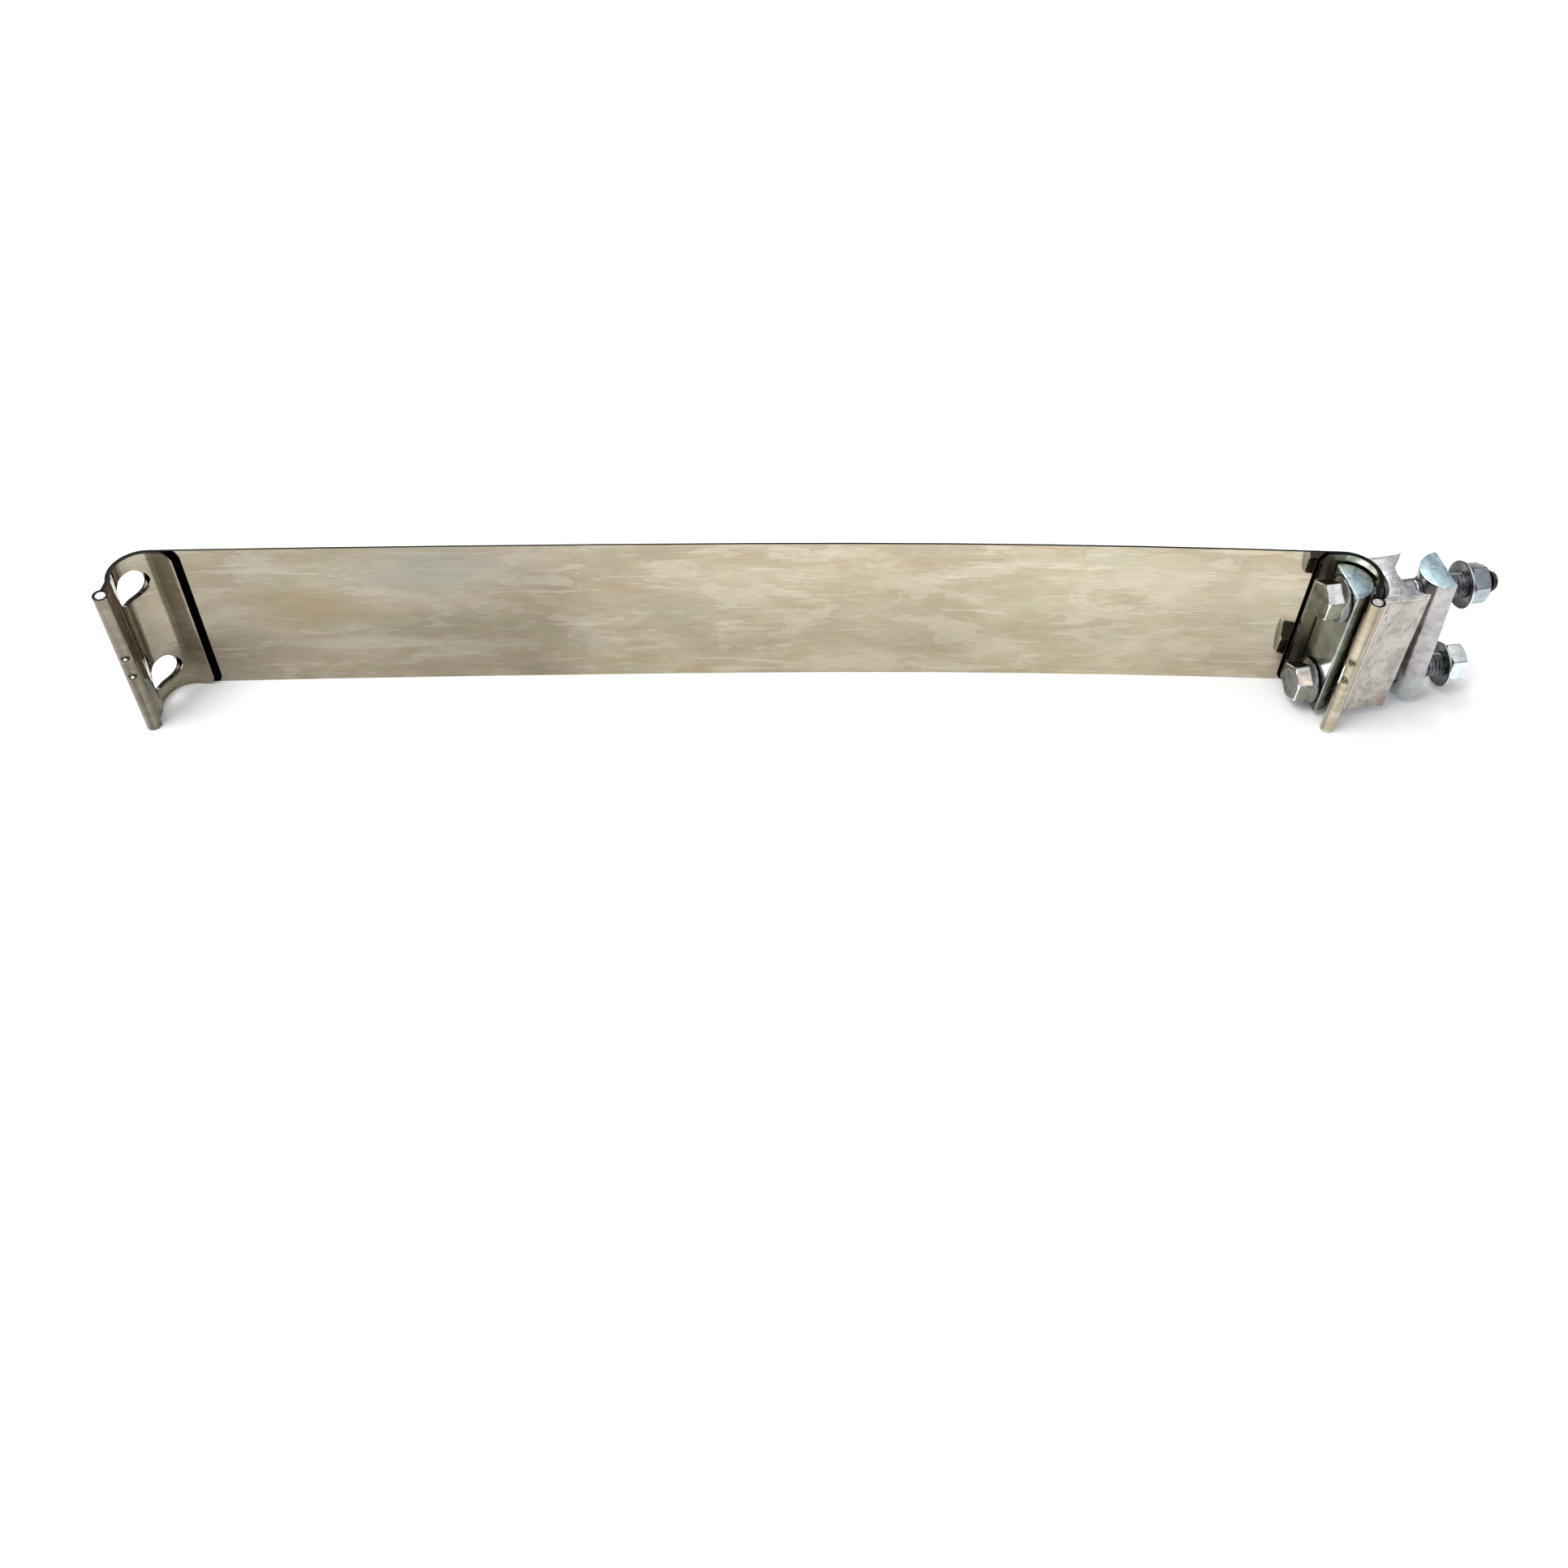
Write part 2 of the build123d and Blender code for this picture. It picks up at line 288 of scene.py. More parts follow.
def sheet_colour(look, grain):
    """Rolled sheet: clouds and streaks along it, three larger stains, specks, painted streaks of reflection
    across its bends, and painted light and shade along its length.
    """
    wide = look.noise(1, 4, (26, 40, 60), roughness=0.55, distortion=0.4)
    colour = look.ramp(wide, (0.25, (0.375, 0.33, 0.235)), (0.45, (0.43, 0.375, 0.275)),
                       (0.58, (0.47, 0.415, 0.31)), (0.75, (0.53, 0.475, 0.37)))
    cloud = look.noise(1, 9, (30, 60, 80), (3, 1, 7), 0.64, 0.3)
    colour = look.mix(look.ramp(cloud, (0.535, 0.0), (0.56, 0.55)), colour, (0.545, 0.50, 0.40))
    mottle = look.noise(1, 8, (120, 120, 330), (6, 6, 1), 0.75, 0.3)
    colour = look.tinted(colour, look.ramp(mottle, (0.32, 0.90), (0.5, 0.99), (0.68, 1.06)))
    brown = look.noise(1, 4, (30, 60, 75), (11, 5, 2), 0.6, 0.5)
    colour = look.mix(look.ramp(brown, (0.56, 0.0), (0.70, 0.55)), colour, (0.42, 0.31, 0.19))
    green = look.noise(1, 3, (22, 60, 45), (4, 9, 13), 0.5)
    colour = look.mix(look.ramp(green, (0.52, 0.0), (0.68, 0.45)), colour, (0.375, 0.37, 0.25))
    streak = look.noise(1, 8, (22, 60, 260), (8, 2, 5), 0.66, 0.3)
    colour = look.mix(look.ramp(streak, (0.575, 0.0), (0.595, 0.5)), colour, (0.60, 0.555, 0.45))
    # Towards the free hook: a pale patch low down, a brown stain above it and a grey one by the top edge
    for centre, radii, ragged, amount, soft, strength, stain in (
            ((-176, 12, 20), (32, 9, 3.2), mottle, 1.1, 0.25, 0.5, (0.60, 0.56, 0.45)),
            ((-205, 12, 40), (20, 9, 9), cloud, 1.3, 0.5, 0.5, (0.42, 0.30, 0.19)),
            ((-150, 12, 58), (34, 9, 10), cloud, 1.3, 0.5, 0.55, (0.43, 0.42, 0.35))):
        patch = look.near(centre, radii, ragged, amount, soft)
        colour = look.mix(look.times(patch, strength), colour, stain)
    colour = look.tinted(colour, look.ramp(grain, (0.3, 0.88), (0.7, 1.08)))
    # Painted reflections: light and dark streaks across the bends in the hooks
    in_hook = look.between(look.part(1), 4 * MM, -6 * MM)
    reflection_streaks = look.ramp(look.noise(1, 3, (520, 520, 12), (1, 4, 2)), (0.35, 0.60), (0.5, 0.90), (0.62, 1.10))
    colour = look.mix(in_hook, colour, look.tinted(colour, reflection_streaks))
    specks = look.cells(1, (130, 130, 130), (0.3, 0.1, 0.7))
    colour = look.mix(look.ramp(specks, (0.012, 0.85), (0.03, 0.0)), colour, (0.10, 0.085, 0.06))
    # Painted light and shade: the whole band lighter and darker in turn along its length, as the room lights it
    length = look.between(look.part(0), -0.25, 0.25)
    painted_light_tone = look.ramp(length, (0.05, 0.66), (0.13, 0.72), (0.19, 0.66), (0.27, 0.66), (0.33, 0.84), (0.40, 0.93),
                     (0.50, 1.00), (0.58, 0.98), (0.67, 1.09), (0.74, 1.10), (0.82, 1.05))
    return look.tinted(colour, painted_light_tone)


def free_end_shade(look, colour, end, side, low_fade, stripe):
    """Painted shadow stripe on the band just past a free end, and painted shade on the free end itself.

    The end's X and the stripe's width are in millimetres, and side is the direction to the band's middle.
    Returns the colour, where it is dusky and where it is black.
    """
    beyond = look.times(look.maths("SUBTRACT", look.part(0), end * MM), side)
    # distance from the free end's outline, which has round corners
    from_middle = look.maths("ABSOLUTE", look.maths("SUBTRACT", look.part(2), mid_width * MM))
    over = look.maths("SUBTRACT", from_middle, (mid_width - tail_corner) * MM)
    along_x = look.maths("MAXIMUM", look.maths("ADD", beyond, tail_corner * MM), 0.0)
    from_corner = look.add("ShaderNodeCombineXYZ", {0: along_x, 1: look.maths("MAXIMUM", over, 0.0)}).outputs[0]
    distance = look.add("ShaderNodeVectorMath", {0: from_corner}, operation="LENGTH").outputs["Value"]
    reach = look.maths("SUBTRACT", distance, tail_corner * MM)
    hook_side = look.maths("LESS_THAN", look.facing(1), -0.5)

    # Painted shadow: a black stripe on the band past the free end, for the end's shadow and its reflection
    behind = look.maths("GREATER_THAN", look.part(1), tail_back * MM)
    longest = 4
    gloom = look.ramp(look.maths("DIVIDE", reach, longest * MM),
                      (stripe / longest - 0.03, 1.0), (stripe / longest + 0.02, 0.0))
    black = look.times(hook_side, behind, gloom)
    colour = look.mix(black, colour, (0.0, 0.0, 0.0))

    # Painted shade on the free end's last ten millimetres, less of it low down
    tail = 12 * MM
    fade = look.ramp(look.maths("DIVIDE", look.maths("ADD", beyond, tail), tail), (0.20, 0.0), (0.28, 0.85),
                     (0.90, 0.9), (0.96, 0.25), (1.0, 0.0))
    in_front = look.maths("LESS_THAN", look.part(1), tail_back * MM)
    on_tail = look.times(hook_side, in_front, look.maths("GREATER_THAN", look.part(1), 5 * MM))
    lower = look.ramp(look.maths("DIVIDE", look.part(2), band_width * MM), (0.10, 1.0 - low_fade), (0.30, 1.0))
    dusk = look.times(fade, on_tail, lower)
    return look.mix(dusk, colour, look.tinted(colour, (0.46, 0.43, 0.37))), dusk, black


def hem_marks(look, colour):
    """Darker free hem, stake marks in dark rims with a painted highlight on each crown, and brown oxide round the
    other hem's marks.
    """
    rod_low, rod_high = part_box("left_hem_rod")
    free = (rod_low + rod_high) / 2 / MM
    rod_low, rod_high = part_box("right_hem_rod")
    bolted = (rod_low + rod_high) / 2 / MM
    darkened_area = look.near((free.x, free.y, mid_width), (4.6, 4.6, 90), soft=0.12)
    colour = look.mix(look.times(darkened_area, 0.9), colour, look.tinted(colour, (0.60, 0.61, 0.62)))
    for side in (-stake_side, stake_side):
        foot = (free.x + 0.82, free.y - 2.42, free.z + side)
        # Painted highlight on the crown of each stake mark
        crown_highlight = (free.x + 1.14, free.y - 3.37, free.z + side + 0.25)
        colour = look.mix(look.near(foot, (1.7, 1.7, 1.5), soft=0.15), colour, (0.03, 0.028, 0.02))
        colour = look.mix(look.near(crown_highlight, (0.7, 0.7, 0.62), soft=0.3), colour, (0.75, 0.72, 0.62))
    for side in (-stake_side, stake_side):
        mark = (bolted.x - 1.63, bolted.y - 1.96, bolted.z + side)
        spot = look.near(mark, (1.5, 1.5, 1.9), look.noise(900, 3), 0.7, 0.25)
        colour = look.mix(look.times(spot, 0.85), colour, (0.085, 0.045, 0.03))
    return colour


def band_look():
    """Thin rolled stainless sheet: mirror-like, with soft stains, a fine lengthwise grain, and painted shade,
    shadows and highlights.
    """
    look = Look("band_steel_look", 1.0, 0.2)
    grain = look.noise(1, 3, (90, 900, 2600), roughness=0.7)
    colour = sheet_colour(look, grain)
    darkened_area = black = 0.0
    # Painted shadow stripes and painted shade at both free ends; the shaded parts are also made rougher
    for free_end in ((-243.8, 1, 1, 2.7), (193.1, -1, 0, 1.1)):
        colour, dusk, stripe = free_end_shade(look, colour, *free_end)
        darkened_area, black = look.maths("ADD", darkened_area, dusk), look.maths("ADD", black, stripe)
    colour = hem_marks(look, colour)
    rough = look.ramp(look.noise(1, 4, (60, 60, 160), (2, 2, 2)), (0.3, 0.035), (0.7, 0.10))
    rough = look.mix(darkened_area, rough, (0.42, 0.42, 0.42))
    rough = look.mix(black, rough, (0.8, 0.8, 0.8))
    wave = look.bump(look.noise(1, 2, (22, 22, 34), (5, 5, 5)), 0.5, 0.05)
    return look.set(Base_Color=colour, Roughness=rough, Normal=look.bump(grain, 0.004, 0.15, wave))


def cut_edge_look():
    """Sheared edge of the sheet: dark, with scratches across the thickness."""
    look = Look("band_edge_look", 1.0, 0.4)
    scratch = look.noise(1, 4, (2200, 2200, 500), roughness=0.7)
    colour = look.ramp(scratch, (0.35, (0.01, 0.01, 0.008)), (0.62, (0.035, 0.033, 0.028)),
                       (0.8, (0.14, 0.135, 0.12)))
    return look.set(Base_Color=colour, Roughness=look.ramp(scratch, (0.3, 0.3), (0.7, 0.5)),
                    Normal=look.bump(scratch, 0.03, 0.5))


def rod_look():
    """Sheared end of bright wire: grainy and pale."""
    look = Look("rod_steel_look", 1.0, 0.35)
    grain = look.noise(1500, 4, roughness=0.7)
    facet = look.cells(1300)
    colour = look.ramp(grain, (0.3, (0.30, 0.30, 0.30)), (0.5, (0.72, 0.72, 0.71)), (0.7, (0.95, 0.95, 0.94)))
    return look.set(Base_Color=colour, Roughness=look.ramp(facet, (0.1, 0.2), (0.6, 0.5)),
                    Normal=look.bump(facet, 0.25, 0.6))


def bar_look(name, offset, end_tone, flat_tone, foot_shade=False):
    """Zinc on hot-formed steel: blue-green grey, mottled, with scale pits and scuffs.

    The tones are of its sheared ends and of its drawn faces; foot_shade darkens the lowest part of its flat face.
    """
    look = Look(name, 1.0, 0.4)
    blotch = look.noise(210, 6, offset=offset, roughness=0.65, distortion=0.5)
    colour = look.ramp(blotch, (0.28, (0.20, 0.245, 0.25)), (0.46, (0.42, 0.50, 0.51)),
                       (0.58, (0.60, 0.67, 0.68)), (0.74, (0.80, 0.85, 0.86)))
    fleck = look.noise(1100, 3, offset=offset, roughness=0.6)
    colour = look.mix(look.ramp(fleck, (0.58, 0.0), (0.66, 0.5)), colour, (0.85, 0.90, 0.91))
    pits = look.cells(520, offset=offset)
    colour = look.mix(look.ramp(pits, (0.06, 0.7), (0.16, 0.0)), colour, (0.13, 0.16, 0.155))
    green = look.noise(70, 3, offset=(9, 4, 1))
    colour = look.mix(look.ramp(green, (0.5, 0.0), (0.72, 0.4)), colour, (0.42, 0.52, 0.46))
    scuff = look.noise(1, 4, (900, 300, 160), offset, 0.7, 0.3, (0.3, 0.2, 0.5))
    # the drawn faces are smoother than the sheared ends
    end = look.ramp(look.maths("ABSOLUTE", look.facing(2)), (0.6, 0.0), (0.9, 1.0))
    height = look.mix(0.5, blotch, scuff)
    normal = look.bump(height, 0.22, look.maths("MULTIPLY_ADD", end, 0.45, 0.10))
    normal = look.bump(fleck, 0.05, look.maths("MULTIPLY_ADD", end, 0.5, 0.08), normal)
    flat = look.mix(look.ramp(blotch, (0.36, 0.0), (0.6, 0.8)), (0.40, 0.40, 0.37), (0.64, 0.62, 0.62))
    flat = look.tinted(flat, flat_tone)
    flat = look.mix(look.ramp(pits, (0.07, 0.75), (0.15, 0.0)), flat, (0.12, 0.13, 0.115))
    flat = look.mix(look.ramp(green, (0.50, 0.0), (0.62, 0.6)), flat, (0.46, 0.53, 0.48))
    colour = look.mix(end, flat, look.tinted(colour, end_tone))
    if foot_shade:
        low = look.between(look.part(2), -10.5 * MM, -13 * MM)
        flat_face = look.ramp(look.maths("ABSOLUTE", look.facing(0)), (0.7, 0.0), (0.9, 1.0))
        colour = look.mix(look.times(low, flat_face), colour, look.tinted(colour, (0.20, 0.23, 0.28)))
    drawn_rough = look.ramp(scuff, (0.3, 0.14), (0.7, 0.3))
    rough = look.mix(end, drawn_rough, look.ramp(scuff, (0.3, 0.28), (0.7, 0.52)))
    return look.set(Base_Color=colour, Roughness=rough, Normal=normal)


def fastener_look(name, offset, tint=(0.50, 0.51, 0.50), painted_facet_tones=None, painted_end_tone=0.0, hollow=False):
    """Bright zinc on forged bolts and nuts: fine grain, olive and blue casts, and painted reflections, shade and
    highlights.

    Each facet's tone is a painted reflection: that of the upper front one, those below it and those behind; the
    end tone is a painted reflection on a bolt head's end, and hollow is for a washer, with painted shade on the
    side to the bar and a painted highlight round its rim.
    """
    look = Look(name, 1.0, 0.25)
    soft = look.noise(260, 4, offset=offset, roughness=0.6, distortion=0.4)
    dark = tuple(c * 0.6 for c in tint)
    colour = look.ramp(soft, (0.30, dark), (0.48, tint), (0.72, tuple(min(1, c * 1.25) for c in tint)))
    olive = look.noise(150, 3, offset=(offset[2], offset[0], 3))
    colour = look.mix(look.ramp(olive, (0.5, 0.0), (0.66, 0.5)), colour, (0.40, 0.42, 0.33))
    rose = look.noise(190, 3, offset=(2, offset[1], offset[0]))
    colour = look.mix(look.ramp(rose, (0.6, 0.0), (0.7, 0.35)), colour, (0.74, 0.64, 0.65))
    grain = look.noise(1700, 3, offset=offset, roughness=0.65)
    normal = look.bump(soft, 0.10, 0.25)
    normal = look.bump(grain, 0.012, 0.25, normal)
    if painted_facet_tones:
        # painted reflections, by the angle of each facet round the bolt, one corner of the hexagon being straight
        # up
        above, front, back = painted_facet_tones
        for angle, painted_light_tone in ((120, above), (180, front), (60, back), (0, back), (300, back), (240, front)):
            toward = look.maths("ADD", look.times(look.facing(1), cos(radians(angle))),
                                look.times(look.facing(2), sin(radians(angle))))
            mottled = look.tinted(painted_light_tone, look.ramp(soft, (0.35, 0.72), (0.6, 1.0)))
            colour = look.mix(look.ramp(toward, (0.88, 0.0), (0.93, 0.92)), colour, mottled)
    if hollow:
        # Painted shade on the washer's hollow side towards the bar, and a painted highlight round its rim
        toward_bar = look.times(look.facing(0), -1)
        inside = look.ramp(soft, (0.35, (0.035, 0.035, 0.035)), (0.65, (0.16, 0.17, 0.17)))
        colour = look.mix(look.ramp(toward_bar, (0.35, 0.0), (0.6, 0.92)), colour, inside)
        edge = look.ramp(look.maths("ABSOLUTE", look.facing(0)), (0.25, 0.9), (0.5, 0.0))
        colour = look.mix(edge, colour, (0.82, 0.86, 0.87))
    if painted_end_tone:
        # Painted reflections on a bolt head: a dark end face, a painted highlight round its chamfer broken up by
        # the olive noise, and painted shade on its flange
        outward = look.times(look.facing(0), -1)
        dark_end = tuple(c * painted_end_tone for c in (0.10, 0.105, 0.085))
        pale_end = tuple(c * painted_end_tone for c in (0.27, 0.28, 0.24))
        colour = look.mix(look.ramp(outward, (0.90, 0.0), (0.97, 0.9)), colour,
                          look.ramp(soft, (0.35, dark_end), (0.62, pale_end)))
        chamfer_highlight = look.ramp(outward, (0.58, 0.0), (0.68, 0.9), (0.88, 0.9), (0.93, 0.0))
        worn = look.tinted(chamfer_highlight, look.ramp(olive, (0.42, 0.15), (0.52, 1.0)))
        colour = look.mix(worn, colour, (0.90, 0.92, 0.91))
        flange = look.between(look.part(0), -3.0 * MM, -2.2 * MM)
        colour = look.mix(look.times(flange, 0.85), colour, (0.13, 0.135, 0.125))
    return look.set(Base_Color=colour, Roughness=look.ramp(soft, (0.3, 0.14), (0.7, 0.30)), Normal=normal)


def thread_look():
    """Rolled thread and shank: zinc darker than the heads', near black over its last six millimetres."""
    look = Look("thread_look", 1.0, 0.3)
    soft = look.noise(240, 4, roughness=0.6)
    colour = look.ramp(soft, (0.3, (0.10, 0.105, 0.11)), (0.5, (0.28, 0.29, 0.31)), (0.7, (0.55, 0.56, 0.60)))
    tip = look.between(look.part(0), 56 * MM, 58 * MM)
    colour = look.mix(look.times(tip, 0.93), colour, (0.022, 0.02, 0.018))
    grain = look.noise(1, 3, (500, 1800, 1800), roughness=0.7)
    return look.set(Base_Color=colour, Roughness=look.ramp(grain, (0.3, 0.2), (0.7, 0.45)),
                    Normal=look.bump(grain, 0.05, 0.5))


def block_look():
    """Extruded aluminium, sawn to length: pale, smeared and scuffed."""
    look = Look("block_look", 1.0, 0.45)
    cloud = look.noise(120, 6, stretch=(1, 1, 0.7), roughness=0.65, distortion=0.9)
    colour = look.ramp(cloud, (0.28, (0.42, 0.395, 0.385)), (0.44, (0.62, 0.59, 0.57)),
                       (0.56, (0.82, 0.785, 0.75)), (0.74, (0.98, 0.96, 0.93)))
    smear = look.noise(1, 5, (330, 330, 900), (4, 1, 2), 0.7, 1.2, (0.5, 0.9, 0.2))
    colour = look.mix(look.ramp(smear, (0.56, 0.0), (0.64, 0.55)), colour, (0.96, 0.95, 0.93))
    dirt = look.noise(1, 4, (500, 500, 260), (7, 3, 1), 0.65, 0.5)
    colour = look.mix(look.ramp(dirt, (0.60, 0.0), (0.66, 0.75)), colour, (0.27, 0.25, 0.25))
    end = look.ramp(look.maths("ABSOLUTE", look.facing(2)), (0.6, 0.0), (0.9, 1.0))
    colour = look.tinted(colour, look.mix(end, (0.68, 0.67, 0.63), (0.97, 1.02, 1.08)))
    # The near face has a smooth border beside the hem, and a burr line round it, painted as a highlight beside a
    # line of shade
    near = look.ramp(look.times(look.facing(1), -1), (0.80, 0.0), (0.95, 1.0))
    ragged = look.maths("MULTIPLY_ADD", look.noise(160, 4), 1.2 * MM, -0.6 * MM)
    beside = look.maths("SUBTRACT", look.maths("ADD", look.part(0), ragged), 12.6 * MM)
    below = look.maths("SUBTRACT", 28.9 * MM, look.maths("ADD", look.part(2), ragged))
    border = look.times(near, look.maths("LESS_THAN", beside, 0.0))
    colour = look.mix(look.times(border, 0.85), colour, (0.56, 0.50, 0.40))
    for gap in (beside, below):
        place = look.maths("MULTIPLY_ADD", gap, 400.0, 0.5)
        # Painted highlight and painted shade of the burr line
        bright = look.ramp(place, (0.34, 0.0), (0.42, 0.9), (0.50, 0.0))
        colour = look.mix(look.times(near, bright), colour, (1.0, 0.98, 0.94))
        dark = look.ramp(place, (0.50, 0.0), (0.58, 0.85), (0.68, 0.0))
        colour = look.mix(look.times(near, dark), colour, (0.24, 0.21, 0.18))
    brown = look.near((29, -11, -30), (5, 8, 7), look.noise(300, 4), 0.9, 0.6)
    colour = look.mix(look.times(brown, 0.6), colour, (0.30, 0.20, 0.14))
    height = look.mix(0.5, cloud, smear)
    normal = look.bump(height, 0.5, 0.8)
    normal = look.bump(look.noise(1300, 4, roughness=0.7), 0.06, 0.5, normal)
    return look.set(Base_Color=colour, Roughness=look.ramp(smear, (0.3, 0.36), (0.7, 0.58)), Normal=normal)


# ---- the strip and the rods in its hems ----
def strip():
    """The band as packed, its surfaces mirror-like and its sheared edges and slot walls dark."""
    mesh = frame["nodes"]["clamp_band"].data.copy()
    mesh.name = "strip"
    mesh.materials.clear()
    mesh.materials.append(band_look())
    mesh.materials.append(cut_edge_look())
    piece = bpy.data.objects.new("strip", mesh)
    bpy.context.scene.collection.objects.link(piece)
    solid = BVHTree.FromPolygons([v.co for v in mesh.vertices], [tuple(f.vertices) for f in mesh.polygons])
    thick = 2.0 * MM
    for face in mesh.polygons:
        # the sheet is thin only across its surfaces, so under an edge or a slot's wall no way through it is short
        through = 1.0
        corners = [mesh.vertices[i].co for i in face.vertices]
        for start in [face.center] + [face.center.lerp(corner, 0.37) for corner in corners]:
            hit = solid.ray_cast(start - face.normal * 1e-5, -face.normal)
            if hit[0]:
                through = min(through, hit[3])
        if through > thick:
            face.material_index = 1
    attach(piece, "band")
    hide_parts("clamp_band")


def rod(name, node):
    """Wire in a hem: its sheared ends are slightly hollow and grainy."""
    low, high = (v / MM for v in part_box(node))
    centre_x, centre_y = (low.x + high.x) / 2, (low.y + high.y) / 2
    radius = (high.x - low.x) / 2
    length = high.z - low.z
    angles = around(48)
    rows = []
    for x, r in ((0.12, 0.4), (0.1, 0.8), (0.05, 1.3), (0.0, radius - 0.3), (0.08, radius - 0.1), (0.25, radius)):
        grain = 0.05 if r < radius - 0.2 else 0
        rows.append([(p[0] + grain * noise.noise(Vector(p) * 1.7), p[1], p[2]) for p in ring(x, r, angles)])
    rows.append(ring(length / 2, radius, angles))
    half = rows[:-1]
    rows += [[(length - p[0], p[1], p[2]) for p in row] for row in reversed(half)]
    points, faces = skin(rows)
    points = [(y, z, x) for x, y, z in points]
    at = Matrix.Translation(Vector((centre_x, centre_y, low.z)) * MM)
    piece = build(name, points, faces, looks["rod"], at)
    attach(piece, "band")
    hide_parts(node)


# ---- bars and block: an outline drawn up the height, worked one by one ----
def outline(corners, step):
    """Closed outline through the corners, with points about a step apart on its longer sides."""
    points = []
    for i, a in enumerate(corners):
        b = corners[(i + 1) % len(corners)]
        count = max(1, round(hypot(b[0] - a[0], b[1] - a[1]) / step))
        points += [(a[0] + (b[0] - a[0]) * k / count, a[1] + (b[1] - a[1]) * k / count) for k in range(count)]
    return points


def arc(centre, radius, start, end, count):
    return [(centre[0] + radius * cos(radians(start + (end - start) * i / count)),
             centre[1] + radius * sin(radians(start + (end - start) * i / count))) for i in range(count + 1)]


def rounded(points, radius, steps=4):
    """Outline with each sharp corner replaced by a short curve."""
    ways = []
    for i, p in enumerate(points):
        following = Vector(points[(i + 1) % len(points)])
        ways.append(((Vector(p) - Vector(points[i - 1])).normalized(), (following - Vector(p)).normalized()))
    sharp = [before.angle(after) > radians(35) for before, after in ways]
    corners = [Vector(p) for p, is_sharp in zip(points, sharp) if is_sharp]
    result = []
    for p, (before, after), is_sharp in zip(points, ways, sharp):
        here = Vector(p)
        if is_sharp:
            start, end = here - before * radius, here + after * radius
            for k in range(steps + 1):
                t = k / steps
                result.append(tuple(start * (1 - t) ** 2 + here * 2 * t * (1 - t) + end * t ** 2))
        elif all((here - corner).length > radius for corner in corners):
            result.append(p)
    return result


def drawn(section, bottom, top, edge, step, worked):
    """Rows of a section drawn from bottom to top, its ends eased, each point put by worked(point, normal)."""
    count = len(section)
    area = sum(section[i - 1][0] * p[1] - p[0] * section[i - 1][1] for i, p in enumerate(section))
    turn = 1 if area > 0 else -1
    normals = []
    for i, p in enumerate(section):
        a, b = section[i - 1], section[(i + 1) % count]
        t = Vector((b[0] - a[0], b[1] - a[1])).normalized()
        normals.append(Vector((t.y, -t.x)) * turn)
    levels = [(bottom, edge), (bottom + 0.3 * edge, 0.3 * edge), (bottom + edge, 0)]
    inner = max(1, round((top - bottom - 2 * edge) / step))
    levels += [(bottom + edge + (top - bottom - 2 * edge) * k / inner, 0) for k in range(1, inner)]
    levels += [(top - edge, 0), (top - 0.3 * edge, 0.3 * edge), (top, edge)]
    rows = []
    for z, inset in levels:
        row = []
        for p, n in zip(section, normals):
            base = Vector((p[0] - n.x * inset, p[1] - n.y * inset, z))
            row.append(tuple(worked(base, Vector((n.x, n.y, 0)))))
        rows.append(row)
    return rows


def drawn_piece(name, rows, material, at, hole_radius, reach):
    """Solid through the rows with flat ends and cross-drilled holes."""
    count = len(rows[0])
    points, faces = skin(rows, False, False)
    # the ends are hollow-sided, so they are filled with triangles that stay inside them
    for corners in geometry.tessellate_polygon([[Vector((p[0], p[1], 0)) for p in rows[0]]]):
        faces.append(tuple(corners))
        faces.append(tuple(len(points) - count + i for i in reversed(corners)))
    cutters = []
    for z in (-bolt_side, bolt_side):
        drill, sides = skin([ring(x, hole_radius, around(48)) for x in reach])
        cutters.append(build("cutter", [(a, b, c + z) for a, b, c in drill], sides, material))
    return build(name, points, faces, material, at, 34, cutters)


def bar(name, node, body, material, at, radius, hole, seed, offset=0.0, trim=None):
    """Half-round bar: hot-formed, so slightly wavy, with eased edges.

    Its arc may be centred off the bolts and its outer edge cut flat at trim.
    """
    section = arc((0, offset), radius, -90, 90, 56)
    if trim:
        section = [p for p in section if p[1] < trim]
        section += [(sqrt(radius ** 2 - (trim - offset) ** 2), trim), (0, trim)]
    section = outline(section, 0.8)
    section = rounded(section, 1.1, steps=6)

    def worked(p, n):
        slow = noise.noise(Vector((p.x * 0.16 + seed, p.y * 0.16, p.z * 0.09)))
        quick = noise.noise(Vector((p.x * 0.7, p.y * 0.7 + seed, p.z * 0.55)))
        return p - n * (0.09 + 0.07 * slow + 0.04 * quick)

    rows = drawn(section, -bar_length / 2, bar_length / 2, 0.45, 1.0, worked)
    piece = drawn_piece(name, rows, material, at, hole, (-5, radius + 5))
    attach(piece, body)
    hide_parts(node)


